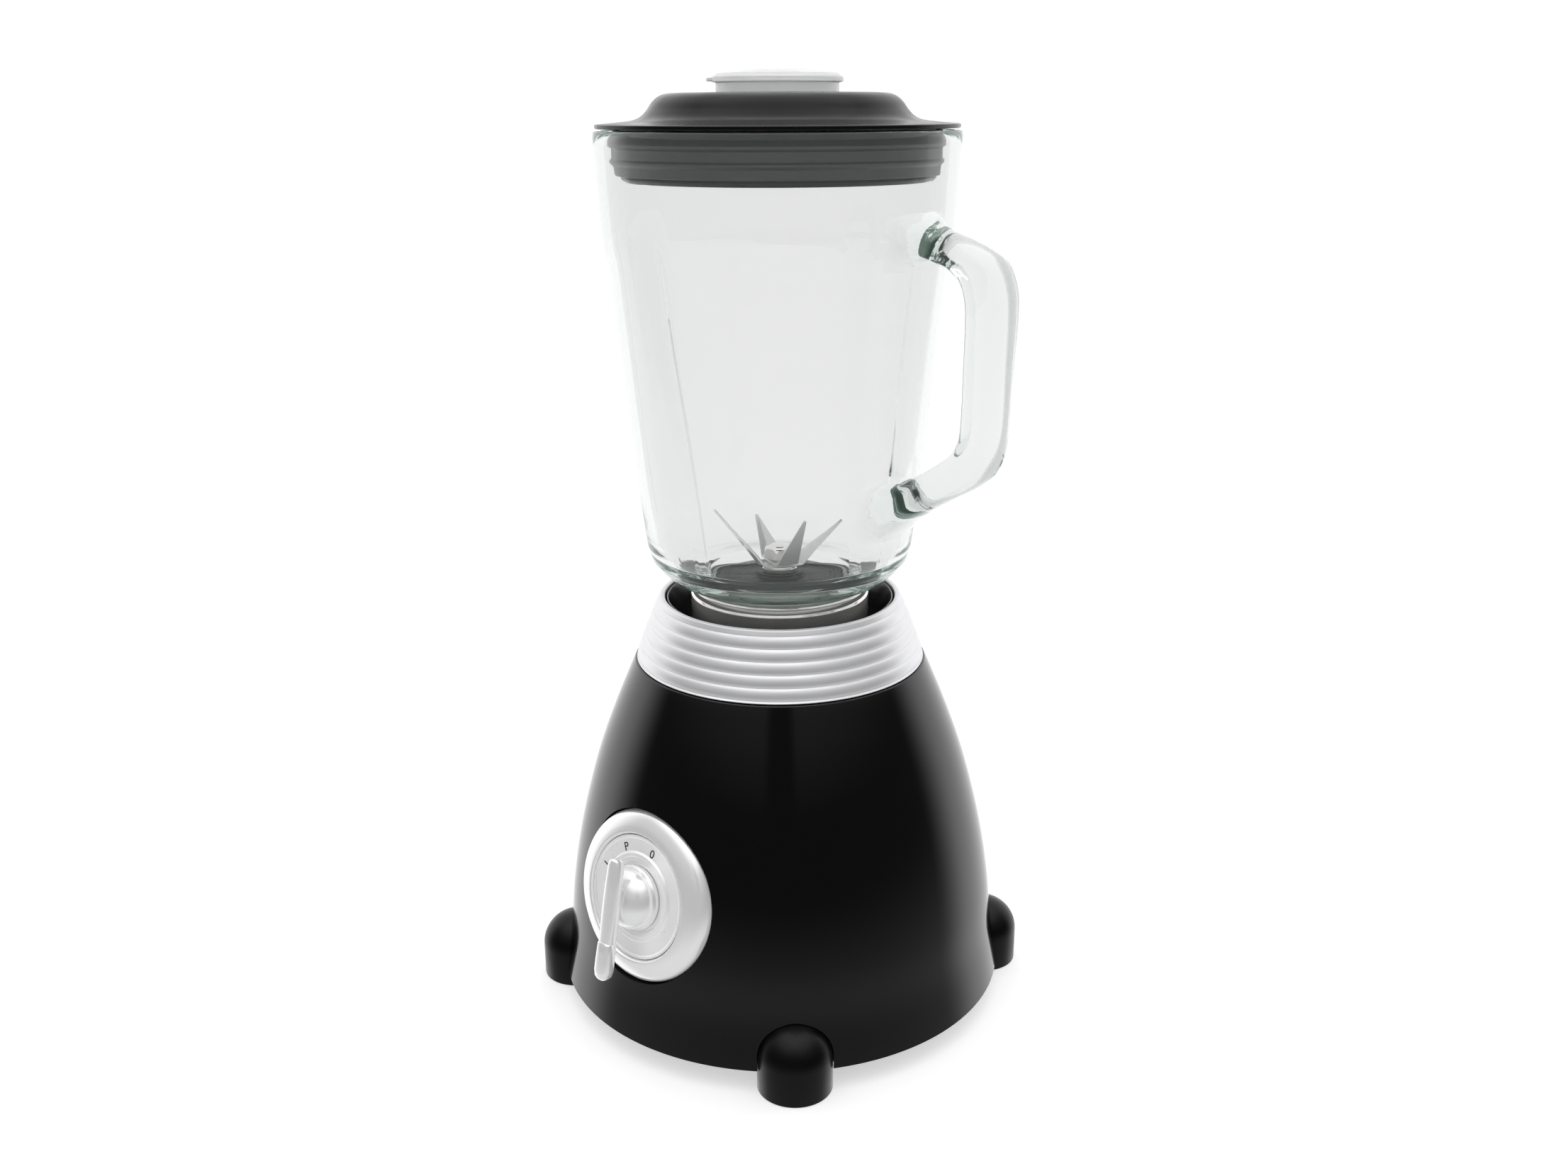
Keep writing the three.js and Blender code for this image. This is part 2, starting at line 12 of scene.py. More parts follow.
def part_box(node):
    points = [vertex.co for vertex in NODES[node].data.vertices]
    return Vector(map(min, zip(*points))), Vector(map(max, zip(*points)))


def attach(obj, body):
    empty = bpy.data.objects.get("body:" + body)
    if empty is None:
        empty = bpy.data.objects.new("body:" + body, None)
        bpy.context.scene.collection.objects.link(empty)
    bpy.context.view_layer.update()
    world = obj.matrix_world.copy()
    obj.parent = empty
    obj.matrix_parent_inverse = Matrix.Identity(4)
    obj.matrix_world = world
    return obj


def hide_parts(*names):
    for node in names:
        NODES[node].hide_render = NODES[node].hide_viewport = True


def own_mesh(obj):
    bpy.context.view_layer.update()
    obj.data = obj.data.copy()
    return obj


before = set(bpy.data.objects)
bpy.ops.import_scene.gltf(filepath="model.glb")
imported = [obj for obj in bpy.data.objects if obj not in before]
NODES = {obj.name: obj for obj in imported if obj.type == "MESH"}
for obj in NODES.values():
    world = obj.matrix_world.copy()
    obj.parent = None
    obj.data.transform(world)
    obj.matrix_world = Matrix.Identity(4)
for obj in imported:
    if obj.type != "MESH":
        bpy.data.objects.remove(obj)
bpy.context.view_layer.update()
MM = 0.001


def heights(node):
    """Lowest and highest point of a CAD node, in millimetres."""
    low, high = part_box(node)
    return low.z / MM, high.z / MM


def reach(node):
    """Largest X distance of a round CAD node from its own axis, in millimetres."""
    low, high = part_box(node)
    return (high.x - low.x) / 2 / MM


COLLAR_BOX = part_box("chrome_collar")
AXIS = Vector(((COLLAR_BOX[0].x + COLLAR_BOX[1].x) / 2, (COLLAR_BOX[0].y + COLLAR_BOX[1].y) / 2, 0))
COLLAR_LOW, COLLAR_TOP = heights("chrome_collar")
HOUSING_LOW, HOUSING_TOP = heights("motor_housing")
NECK_LOW, RIM_Z = heights("glass_jug")
LID_LOW, LID_TOP = heights("lid")
SEAL_LOW, SEAL_TOP = heights("lid_seal")
CAP_LOW, CAP_TOP = heights("measuring_cap")
PAD_TOP = heights("foot_pad_front_right")[1]

DIAL_OUT = 91.6        # centre of the dial's face: distance from the axis, height, tilt back in degrees
DIAL_Z = 72.6
DIAL_TILT = 11.5
BEZEL_R = 36.6
BEZEL_DEPTH = 10.8
PLATE_R = 26
GLAND_Z = 24
GAP = 0.3              # clearance between pieces that fit into each other
SHELL = 3              # wall of the housing
FOOT_RING = 95         # feet: distance from the axis, radius, top, and where the dome starts
FOOT_R = 15.75
FOOT_TOP = 30
FOOT_STRAIGHT = 15
CORNERS = {"back_right": 45, "back_left": 135, "front_left": 225, "front_right": 315}
# each rib's azimuth near the rim and near the floor, and how far it stands inwards
RIBS = ((8, 4, 0.9), (98, 94, 1.3), (188, 184, 1.8), (264, 276, 1.62))
FINE = 144             # points round a turned piece
MEDIUM = 96
SMALL = 48


# ---- outlines -----------------------------------------------------------
def rounded(corners, steps=5):
    """Outline through (r, z) corners; a third number rounds that corner by about so much."""
    outline = []
    for i, corner in enumerate(corners):
        here = Vector(corner[:2])
        if len(corner) < 3:
            outline.append(here)
            continue
        before = Vector(corners[i - 1][:2]) - here
        after = Vector(corners[(i + 1) % len(corners)][:2]) - here
        run = corner[2] / math.tan(before.angle(after) / 2)
        run = min(run, 0.49 * before.length, 0.49 * after.length)
        start = here + before.normalized() * run
        end = here + after.normalized() * run
        for k in range(steps + 1):
            t = k / steps
            outline.append((1 - t) ** 2 * start + 2 * t * (1 - t) * here + t * t * end)
    return outline


def angles(count):
    """Even steps once round a circle."""
    return [2 * math.pi * k / count for k in range(count)]


def softened(points, size):
    """Outline through the points, with every corner but the two ends rounded."""
    return rounded([points[0], *[(*p, size) for p in points[1:-1]], points[-1]])


def flowing(points, per_span=6):
    """Smooth curve through the points."""
    points = [Vector(p) for p in points]
    padded = [2 * points[0] - points[1], *points, 2 * points[-1] - points[-2]]
    curve = []
    for a, b, c, d in zip(padded, padded[1:], padded[2:], padded[3:]):
        for k in range(per_span):
            t = k / per_span
            curve.append(0.5 * (2 * b + (c - a) * t + (2 * a - 5 * b + 4 * c - d) * t * t
                                + (3 * b - a - 3 * c + d) * t ** 3))
    return curve + [points[-1]]


def soft_square(count, power):
    """Points round a square of half-width 1 with soft corners, from its +X side."""
    return [tuple(math.copysign(abs(v) ** (2 / power), v) for v in (math.cos(a), math.sin(a)))
            for a in angles(count)]


def ellipse_top(radius, low, high, steps=14):
    """Quarter ellipse from (radius, low) to the axis at high."""
    turns = [k / steps * math.pi / 2 for k in range(steps + 1)]
    arc = [Vector((radius * math.cos(a), low + (high - low) * math.sin(a))) for a in turns]
    arc[-1].x = 0
    return arc


# ---- mesh helpers -------------------------------------------------------
def placed(name, data):
    """New object in the scene."""
    obj = bpy.data.objects.new(name, data)
    bpy.context.scene.collection.objects.link(obj)
    return obj


def new_object(name, verts, faces, crease=35):
    """Object from millimetre points about the motor axis, faces out, smooth up to the crease angle."""
    mesh = bpy.data.meshes.new(name)
    mesh.from_pydata([Vector(v) for v in verts], [], faces)
    mesh.transform(Matrix.Translation(AXIS) @ Matrix.Scale(MM, 4))
    obj = placed(name, mesh)
    clean(obj, crease)
    return obj


def clean(obj, crease=35):
    """Merge doubled points, turn the faces outwards and set smooth shading."""
    merge_within = 2e-7
    work = bmesh.new()
    work.from_mesh(obj.data)
    bmesh.ops.remove_doubles(work, verts=work.verts, dist=merge_within)
    bmesh.ops.recalc_face_normals(work, faces=work.faces)
    work.to_mesh(obj.data)
    work.free()
    obj.data.polygons.foreach_set("use_smooth", [True] * len(obj.data.polygons))
    obj.data.set_sharp_from_angle(angle=math.radians(crease))


def revolve(name, outline, segments=MEDIUM, place=None, crease=35):
    """Outline turned about Z. It runs from axis to axis, or is a closed loop clear of the axis."""
    points = [Vector(p) for p in outline]
    solid = points[0].x == 0 and points[-1].x == 0
    rings = []
    verts = []
    for p in points:
        if p.x == 0:
            rings.append([len(verts)] * segments)
            verts.append(Vector((0, 0, p.y)))
            continue
        rings.append(list(range(len(verts), len(verts) + segments)))
        for turn in angles(segments):
            verts.append(Vector((p.x * math.cos(turn), p.x * math.sin(turn), p.y)))
    if not solid:
        rings.append(rings[0])
    faces = []
    for a, b in zip(rings, rings[1:]):
        for k in range(segments):
            j = (k + 1) % segments
            corners = list(dict.fromkeys((a[k], a[j], b[j], b[k])))
            if len(corners) > 2:
                faces.append(corners)
    if place is not None:
        verts = [place @ v for v in verts]
    return new_object(name, verts, faces, crease)


def rod(name, radius, low, high, place=None, segments=SMALL):
    """Plain round tool for cutting."""
    return revolve(name, [(0, low), (radius, low), (radius, high), (0, high)], segments, place)


def loft(name, sections, place=None, crease=35):
    """Skin over closed sections of equal point count, capped at both ends."""
    count = len(sections[0])
    verts = [Vector(v) for section in sections for v in section]
    faces = []
    for i in range(len(sections) - 1):
        for k in range(count):
            j = (k + 1) % count
            faces.append((i * count + k, i * count + j, (i + 1) * count + j, (i + 1) * count + k))
    last = (len(sections) - 1) * count
    faces.append(tuple(range(count)))
    faces.append(tuple(last + k for k in range(count)))
    if place is not None:
        verts = [place @ v for v in verts]
    return new_object(name, verts, faces, crease)


def block(name, x0, x1, y0, y1, z0, z1, turn=0.0, place=None, edge=0.0):
    """Box with its top and bottom edges cut by `edge`, turned about the motor axis."""
    def section(z, inset):
        a, b, c, d = x0 + inset, x1 - inset, y0 + inset, y1 - inset
        return [Vector((a, c, z)), Vector((b, c, z)), Vector((b, d, z)), Vector((a, d, z))]
    levels = [(z0, edge), (z0 + edge, 0), (z1 - edge, 0), (z1, edge)] if edge else [(z0, 0), (z1, 0)]
    spin = Matrix.Rotation(math.radians(turn), 4, "Z")
    return loft(name, [section(*level) for level in levels], (place or Matrix.Identity(4)) @ spin)


def combine(target, tools, operation, crease=35):
    """Boolean of target with tools; the tools are used up."""
    for tool in tools:
        step = target.modifiers.new("step", "BOOLEAN")
        step.operation = operation
        step.solver = "EXACT"
        step.object = tool
        bpy.context.view_layer.update()
        shaped = target.evaluated_get(bpy.context.evaluated_depsgraph_get())
        mesh = bpy.data.meshes.new_from_object(shaped)
        target.modifiers.clear()
        old = target.data
        target.data = mesh
        mesh.name = old.name
        bpy.data.meshes.remove(old)
        bpy.data.objects.remove(tool)
    clean(target, crease)


def turned(degrees, x=0.0):
    """Place: moved outwards along X, then turned about the motor axis."""
    return Matrix.Rotation(math.radians(degrees), 4, "Z") @ Matrix.Translation((x, 0, 0))


def through_back(y):
    """Place: Z runs out of the housing's back, starting at y behind the motor axis."""
    return Matrix.Translation((0, y, GLAND_Z)) @ Matrix.Rotation(-math.pi / 2, 4, "X")


DIAL_PLACE = (Matrix.Translation((0, -DIAL_OUT, DIAL_Z))
              @ Matrix.Rotation(math.radians(90 - DIAL_TILT), 4, "X"))


def finish_piece(obj, body, slot, material, *nodes):
    """Give a piece its material and body, and hide the CAD nodes that it stands for. The slot is not
    used.
    """
    obj.data.materials.clear()
    obj.data.materials.append(material)
    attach(obj, body)
    if nodes:
        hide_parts(*nodes)


# ---- materials ----------------------------------------------------------
MIX_FACTOR, MIX_A, MIX_B, MIX_OUT = 0, 6, 7, 2        # a Mix node's colour sockets


class Shader:
    """A material's node tree with its Principled shader and object coordinates."""

    def __init__(self, name, color, roughness, metallic=0.0, **sockets):
        self.material = bpy.data.materials.new(name)
        self.material.use_nodes = True
        self.nodes = self.material.node_tree.nodes
        self.links = self.material.node_tree.links
        self.bsdf = self.nodes["Principled BSDF"]
        self.bsdf.inputs["Base Color"].default_value = (*color, 1)
        self.bsdf.inputs["Roughness"].default_value = roughness
        self.bsdf.inputs["Metallic"].default_value = metallic
        for socket, value in sockets.items():
            self.bsdf.inputs[socket.replace("_", " ")].default_value = value
        self.coordinates = self.nodes.new("ShaderNodeTexCoord")
        self.color = color

    def noise(self, scale, detail=3.0, stretch=(1, 1, 1)):
        """Noise with about `scale` features to the metre, squeezed along each axis by `stretch`."""
        mapping = self.nodes.new("ShaderNodeMapping")
        mapping.inputs["Scale"].default_value = stretch
        texture = self.nodes.new("ShaderNodeTexNoise")
        texture.inputs["Scale"].default_value = scale
        texture.inputs["Detail"].default_value = detail
        self.links.new(self.coordinates.outputs["Object"], mapping.inputs["Vector"])
        self.links.new(mapping.outputs["Vector"], texture.inputs["Vector"])
        return texture.outputs["Fac"]

    def ranged(self, value, low, high):
        """Spread the middle of a noise over low to high."""
        stretch = self.nodes.new("ShaderNodeMapRange")
        for socket, number in (("From Min", 0.3), ("From Max", 0.7), ("To Min", low), ("To Max", high)):
            stretch.inputs[socket].default_value = number
        self.links.new(value, stretch.inputs["Value"])
        return stretch.outputs["Result"]

    def vary_roughness(self, value, low, high):
        self.links.new(self.ranged(value, low, high), self.bsdf.inputs["Roughness"])

    def vary_color(self, value, other):
        mix = self.nodes.new("ShaderNodeMix")
        mix.data_type = "RGBA"
        mix.inputs[MIX_A].default_value = (*self.color, 1)
        mix.inputs[MIX_B].default_value = (*other, 1)
        self.links.new(self.ranged(value, 0, 1), mix.inputs[MIX_FACTOR])
        self.links.new(mix.outputs[MIX_OUT], self.bsdf.inputs["Base Color"])

    def bump(self, value, strength, distance):
        """Relief from a noise, `distance` metres deep."""
        bump = self.nodes.new("ShaderNodeBump")
        bump.inputs["Strength"].default_value = strength
        bump.inputs["Distance"].default_value = distance
        self.links.new(value, bump.inputs["Height"])
        self.links.new(bump.outputs["Normal"], self.bsdf.inputs["Normal"])
        return self


def gloss_black():
    """Moulded, polished black: faint wipe marks and a trace of moulding waviness."""
    s = Shader("gloss_black", (0.0012, 0.0012, 0.0013), 0.09, Specular_IOR_Level=0.5)
    s.vary_roughness(s.noise(22, 4), 0.07, 0.13)
    return s.bump(s.noise(30, 1), 0.05, 0.0004).material


def seat_black():
    """Moulded black that is rubbed a little dull where the jug stands."""
    s = Shader("seat_black", (0.006, 0.006, 0.0065), 0.16)
    s.vary_roughness(s.noise(60, 4), 0.12, 0.22)
    return s.bump(s.noise(160, 2), 0.06, 0.0003).material


def satin(name, roughness, color, specular=0.4):
    """Moulded plastic or rubber with a very fine spark-eroded grain."""
    s = Shader(name, color, roughness, Specular_IOR_Level=specular)
    s.vary_roughness(s.noise(90, 3), roughness - 0.05, roughness + 0.07)
    return s.bump(s.noise(1400, 2), 0.12, 0.00008).material


def rubber():
    """Matt rubber, slightly mottled."""
    color = (0.012, 0.012, 0.013)
    s = Shader("rubber_black", color, 0.62, Specular_IOR_Level=0.35)
    s.vary_color(s.noise(40, 4), tuple(c * 1.6 for c in color))
    return s.bump(s.noise(900, 3), 0.25, 0.0001).material


def bright_chrome(name, color, roughness, grain=(1, 1, 1), spread=0.05, metal=1.0, relief=0.08):
    """Plated metal: hairline polish along `grain`, slightly uneven gloss."""
    s = Shader(name, color, roughness, metal)
    s.vary_roughness(s.noise(70, 5, grain), roughness - spread, roughness + spread)
    return s.bump(s.noise(420, 3, grain), relief, 0.00006).material


def steel(name, color, roughness, metal):
    """Rolled steel: a lengthwise grain and uneven gloss."""
    s = Shader(name, color, roughness, metal)
    s.vary_roughness(s.noise(120, 4, (1, 1, 6)), roughness - 0.06, roughness + 0.1)
    return s.bump(s.noise(900, 2, (1, 1, 10)), 0.1, 0.00005).material


def clear_glass(name, color, roughness, ior, tint, density, clarity=1.0, painted_glow=0.0):
    """Clear solid. Its tint deepens with the thickness looked through, and a faint emission paints
    light into it, which keeps thick parts such as the handle's roots from going dark.
    """
    s = Shader(name, color, roughness, IOR=ior, Transmission_Weight=clarity)
    s.bump(s.noise(26, 2), 0.03, 0.0004)
    depth = s.nodes.new("ShaderNodeVolumeAbsorption")
    depth.inputs["Color"].default_value = (*tint, 1)
    depth.inputs["Density"].default_value = density
    s.links.new(depth.outputs["Volume"], s.nodes["Material Output"].inputs["Volume"])
    # painted light: a faint emission makes the glass give off light of its own
    s.bsdf.inputs["Emission Color"].default_value = PAINTED_GLOW_TINT
    s.bsdf.inputs["Emission Strength"].default_value = painted_glow
    s.material.cycles.emission_sampling = "NONE"
    return s.material


def copper_wire():
    """Varnished windings: turns of wire as fine relief."""
    s = Shader("copper_wire", (0.55, 0.22, 0.09), 0.38, 0.9)
    s.vary_color(s.noise(500, 2, (1, 1, 12)), (0.32, 0.11, 0.04))
    return s.bump(s.noise(1200, 1, (1, 1, 14)), 0.5, 0.0002).material


def cast_alloy():
    """Die-cast alloy with a sandy skin."""
    s = Shader("cast_alloy", (0.5, 0.51, 0.52), 0.5, 1.0)
    s.vary_roughness(s.noise(180, 5), 0.42, 0.62)
    return s.bump(s.noise(700, 4), 0.3, 0.0002).material


def ivory():
    """Heat-proof moulding of the brush holders."""
    s = Shader("ivory_plastic", (0.66, 0.61, 0.49), 0.5)
    s.vary_color(s.noise(60, 3), (0.6, 0.55, 0.43))
    return s.bump(s.noise(900, 2), 0.1, 0.0001).material


def carbon():
    """Pressed carbon with a coarse grain."""
    s = Shader("pressed_carbon", (0.025, 0.025, 0.026), 0.55)
    s.vary_color(s.noise(900, 4), (0.05, 0.05, 0.052))
    return s.bump(s.noise(1500, 3), 0.3, 0.0001).material


# tint of the painted light that the glass gives off
PAINTED_GLOW_TINT = (0.84, 1, 0.92, 1)
HOUSING_BLACK = gloss_black()
SEAT_BLACK = seat_black()
FOOT_BLACK = satin("foot_black", 0.3, (0.0012, 0.0012, 0.0013), 0.25)
MOULDED_BLACK = satin("moulded_black", 0.5, (0.013, 0.013, 0.0135))
LID_BLACK = satin("lid_black", 0.24, (0.002, 0.002, 0.0022), 0.22)
SEAL_BLACK = satin("seal_black", 0.34, (0.023, 0.0205, 0.0225), 0.5)
RUBBER = rubber()
COLLAR_CHROME = bright_chrome("collar_chrome", (0.8, 0.8, 0.815), 0.38, (1, 1, 8), metal=0.7)
DIAL_CHROME = bright_chrome("dial_chrome", (0.92, 0.92, 0.925), 0.17, metal=0.55, relief=0.02)
PLATE_CHROME = bright_chrome("dial_plate_chrome", (0.9, 0.9, 0.905), 0.3, metal=0.4, relief=0.03)
JAR_CHROME = bright_chrome("jar_collar_chrome", (0.88, 0.87, 0.85), 0.1, metal=0.85, relief=0.03)
HUB_STEEL = bright_chrome("hub_steel", (0.86, 0.85, 0.84), 0.08, relief=0.03)
# steel colour with painted reflection: near-white colour with little metal stands in for the bright
# surroundings that polished blades mirror
BLADE_STEEL_PAINTED_REFLECTION = steel("blade_steel", (0.94, 0.94, 0.94), 0.16, 0.25)
PLAIN_STEEL = steel("plain_steel", (0.5, 0.5, 0.51), 0.34, 1.0)
# the jug glass carries a faint painted light (emission) that lightens the handle's roots
GLASS = clear_glass("jug_glass", (0.826, 0.822, 0.823), 0.0, 1.24, (0.48, 0.56, 0.53), 16, painted_glow=0.015)
CLEAR = clear_glass("cap_clear", (0.93, 0.935, 0.935), 0.15, 1.4, (0.8, 0.84, 0.83), 8, 0.55)
SILICONE = satin("pale_silicone", 0.4, (0.62, 0.68, 0.65), 0.4)
COPPER = copper_wire()
ALLOY = cast_alloy()
IVORY = ivory()
CARBON = carbon()


# ---- base ---------------------------------------------------------------
HOUSING_SIDE = [(100, HOUSING_LOW), (96.9, 30), (94.7, 51.5), (91.3, 72.3),
                (86.5, 93.2), (80.4, 114), (72.6, 134.9), (63.7, HOUSING_TOP)]


def build_housing():
    """Domed shell: a deck under the collar, a seat for the dial, and room for the gland and feet."""
    deck_top, deck_under, hole, lip = 154, 150, 42, 60.5
    inside_low, inside_top = 14, 138
    bezel_floor = -BEZEL_DEPTH - GAP
    side = flowing(HOUSING_SIDE)
    inner = [(p.x - SHELL, p.y) for p in side if p.y < deck_under - 1][::-1]
    shell = revolve("housing_shell", [
        (HOUSING_SIDE[0][0] - 1.2, HOUSING_LOW), *side[:-1],
        *rounded([(66, deck_under), (63.6, HOUSING_TOP, 0.8), (lip, HOUSING_TOP)])[1:],
        (lip, deck_top), (hole, deck_top), (hole, deck_under), (62.6, deck_under), *inner,
    ], FINE)
    pocket = rod("pocket", BEZEL_R + SHELL, bezel_floor - SHELL, -5, DIAL_PLACE, MEDIUM)
    wall = [(p.x - 1, p.y) for p in side if inside_low < p.y < inside_top + 2]
    inside = revolve("inside", [(0, inside_low), *wall, (0, inside_top)], MEDIUM)
    combine(pocket, [inside], "INTERSECT")
    combine(shell, [pocket], "UNION")
    cutters = [
        rod("seat", BEZEL_R + GAP, bezel_floor, 30, DIAL_PLACE, MEDIUM),
        rod("spindle_hole", 5, -30, 0, DIAL_PLACE),
        rod("gland_hole", 7, 0, 30, through_back(85)),
    ]
    room_r = FOOT_R + GAP
    foot_room = [(0, -5), (room_r, -5), *ellipse_top(room_r, FOOT_STRAIGHT, FOOT_TOP + GAP)]
    for turn in CORNERS.values():
        cutters.append(revolve("foot_room", foot_room, SMALL, turned(turn, FOOT_RING)))
    combine(shell, cutters, "DIFFERENCE", 25)
    finish_piece(shell, "base", "housing_black", HOUSING_BLACK, "motor_housing")


def build_collar():
    """Plated collar: rounded hoops one above the other on a cone, and a rolled lip."""
    base_r, top_r, top_z = reach("chrome_collar"), 53.4, 181.6
    hoops, swell, steps, fullness, flare = 5, 0.75, 10, 0.6, 1.08
    outer = []
    for i in range(hoops * steps + 1):
        t = i / (hoops * steps)
        wave = abs(math.sin(math.pi * t * hoops)) ** fullness
        slope_r = base_r - 1.2 + (top_r - base_r + 0.6) * t ** flare
        outer.append((slope_r + swell * wave, COLLAR_LOW + 1 + (top_z - COLLAR_LOW - 1) * t))
    lip = rounded([(53.0, 182), (52.0, COLLAR_TOP, 1.2), (50.2, COLLAR_TOP, 0.8), (49.8, 182.4)], 6)
    foot = rounded([(61, COLLAR_LOW), (base_r - 0.5, COLLAR_LOW, 0.4), (base_r - 0.6, COLLAR_LOW + 1)],
                   4)[:-1]
    inside = [(52.0, 178.6), (55.3, 171.9), (58.3, 163.8)]
    made = revolve("collar_hoops", [*foot, *outer, *lip, *inside], FINE, crease=50)
    finish_piece(made, "base", "collar_chrome", COLLAR_CHROME, "chrome_collar")


def build_seat():
    """Well that the jug stands in: sloping wall, a floor with a raised bore, four keys."""
    floor, rest, key_low, key_top, key_out = 160.3, 162.9, 159.5, 168, 42.6
    bore, bore_out, bore_top = 8, 10, 162.3
    well, wall_out, flange_out = 41.4, 45, 59.8
    flange_low, flange_top = 154.3, 157.2
    pin_out, pin_bore = 37, 2.5
    cup = revolve("jar_well", rounded([
        (bore_out, floor, 0.8), (bore_out, bore_top, 0.5), (bore, bore_top, 0.3), (bore, flange_top),
        (43, flange_top), (43, flange_low), (flange_out, flange_low), (flange_out, flange_top),
        (wall_out, flange_top), (wall_out, 166, 2), (49.4, 181, 1), (49.2, 183, 0.3), (48.6, 183, 0.4),
        (47.6, 180.4, 1), (well, 165, 3), (well, floor, 1.5),
    ]), FINE)
    keys = []
    for turn in CORNERS.values():
        keys.append(block("rest", 33, key_out, -4, 4, key_low, rest, turn, edge=0.3))
        keys.append(block("key", 37.6, key_out, -3.9, 3.9, key_low, key_top, turn, edge=0.6))
    combine(cup, keys, "UNION")
    combine(cup, [rod("pin_hole", pin_bore, 150, 170, turned(90, pin_out))], "DIFFERENCE", 30)
    finish_piece(cup, "base", "seat_black", SEAT_BLACK, "jar_seat")


def build_feet():
    """Bullet-shaped feet, each with a screw tab towards the middle and a rubber pad below."""
    pad_r, pad_room, tab_in, tab_low, tab_high, screw_r = 12, 12.3, 23, 13.3, 17.3, 2.3
    for corner, turn in CORNERS.items():
        place = turned(turn, FOOT_RING)
        body = revolve("foot_" + corner + "_shell", [
            *rounded([(0, PAD_TOP + GAP), (pad_room, PAD_TOP + GAP), (pad_room, 0.2, 0.3),
                      (FOOT_R, 0.2, 0.5), (FOOT_R, FOOT_STRAIGHT)])[:-1],
            *ellipse_top(FOOT_R, FOOT_STRAIGHT, FOOT_TOP, 20),
        ], MEDIUM, place)
        tab = block("tab", -tab_in - 8, -8, -7, 7, tab_low, tab_high, 0, place, 0.5)
        combine(body, [tab], "UNION")
        combine(body, [rod("hole", screw_r, 10, 20, turned(turn, FOOT_RING - tab_in))], "DIFFERENCE")
        finish_piece(body, "base", "foot_black", FOOT_BLACK, "foot_" + corner)
        pad = revolve("pad_" + corner, rounded([
            (0, 0), (pad_r, 0, 0.6), (pad_r, PAD_TOP), (0, PAD_TOP),
        ], 4), MEDIUM, place)
        finish_piece(pad, "base", "rubber_black", RUBBER, "foot_pad_" + corner)


def build_gland():
    """Sleeve where a cord would leave at the back."""
    gland = revolve("gland_sleeve", rounded([
        (3.8, -9), (6.6, -9), (6.6, 0.6), (9, 0.6, 0.3), (9, 3, 1.2), (6.4, 7.5, 1), (3.8, 7.5, 0.6),
    ]), SMALL, through_back(99.4))
    finish_piece(gland, "base", "moulded_black", MOULDED_BLACK, "cord_gland")


# ---- dial ---------------------------------------------------------------
def build_dial():
    """Domed bezel and the plate inside it, with a raised ring round the hub."""
    bore, under = 5, -2.6
    bezel = revolve("bezel_ring", [
        (bore, -BEZEL_DEPTH), (BEZEL_R - 0.5, -BEZEL_DEPTH), (BEZEL_R, -BEZEL_DEPTH + 0.5),
        *flowing([(BEZEL_R, -7.6), (36.3, -5.6), (35.5, -3.9), (34.1, -2.6), (32.1, -1.5), (29.9, -0.6),
                  (28, -0.1)], 5),
        *rounded([(28, 0), (PLATE_R + 1.1, 0, 0.5), (PLATE_R + GAP, -1.2), (PLATE_R + GAP, under)])[1:],
        (bore, under),
    ], FINE, DIAL_PLACE, 40)
    finish_piece(bezel, "base", "dial_chrome", DIAL_CHROME, "dial_bezel")
    rim, face, ring = -0.9, -1.4, -0.45
    plate = revolve("plate_face", rounded([
        (bore, -2.3), (PLATE_R, -2.3), (PLATE_R, rim, 0.3), (PLATE_R - 0.9, rim, 0.3),
        (PLATE_R - 1.6, face, 0.6), (19.2, face, 0.4), (18.4, ring, 0.5), (17.2, ring, 0.4),
        (16.6, rim, 0.3), (15.4, rim, 0.3), (14.9, face, 0.3), (bore, face),
    ]), FINE, DIAL_PLACE)
    finish_piece(plate, "base", "dial_chrome", PLATE_CHROME, "dial_plate")


def lever_section(v, width, low, high):
    """Soft-edged slice across the lever at height v up the dial."""
    middle, half = (low + high) / 2, (high - low) / 2
    return [Vector((x * width / 2, v, middle + y * half)) for x, y in soft_square(20, 3.2)]


def build_knob():
    """Domed hub, a waisted neck and a slim lever with a rounded grip below."""
    hub = revolve("knob_hub", [
        (0, -1), (13.4, -1),
        *rounded([(13.4, -1), (13.6, -0.6, 0.3), (13.6, 0.8, 0.8), (12.8, 2)], 4)[1:-1],
        *ellipse_top(12.9, 1.6, 11.4, 16),
    ], MEDIUM, DIAL_PLACE)
    neck_width, neck_rows = 4.6, [(5.5, 13.5), (8.2, 9.0), (10.0, 6.6), (12.2, 7.6)]    # height, length
    neck = loft("neck", [
        [Vector((0.5 * neck_width * math.cos(a), 0.5 * length * math.sin(a), s)) for a in angles(24)]
        for s, length in neck_rows], DIAL_PLACE)
    bar = loft("bar", [lever_section(*row) for row in (
        (18.9, 2.8, 11.4, 13.8), (18.3, 5.4, 10.8, 14.7), (16.5, 6.8, 10.3, 15.2), (6, 7.7, 10.0, 15.4),
        (-6, 7.8, 10.0, 15.4), (-16, 6.9, 10.1, 15.4), (-20, 6.2, 10.4, 15.2),
    )], DIAL_PLACE)
    grip = loft("grip", [lever_section(*row) for row in (
        (-16.6, 6.2, 10.1, 15.4), (-17.2, 7.2, 9.7, 15.9), (-21, 7.5, 9.6, 16.0), (-25, 7.8, 9.6, 16.0),
        (-29, 7.8, 9.6, 16.0), (-31.4, 6.8, 10.0, 15.7), (-32.7, 4.6, 10.8, 15.0),
        (-33.2, 1.6, 12.1, 13.7),
    )], DIAL_PLACE)
    combine(hub, [neck, bar, grip], "UNION", 40)
    combine(hub, [rod("socket", 3.3, -5, 4.2, DIAL_PLACE)], "DIFFERENCE", 40)
    finish_piece(hub, "knob", "dial_chrome", DIAL_CHROME, "control_knob")


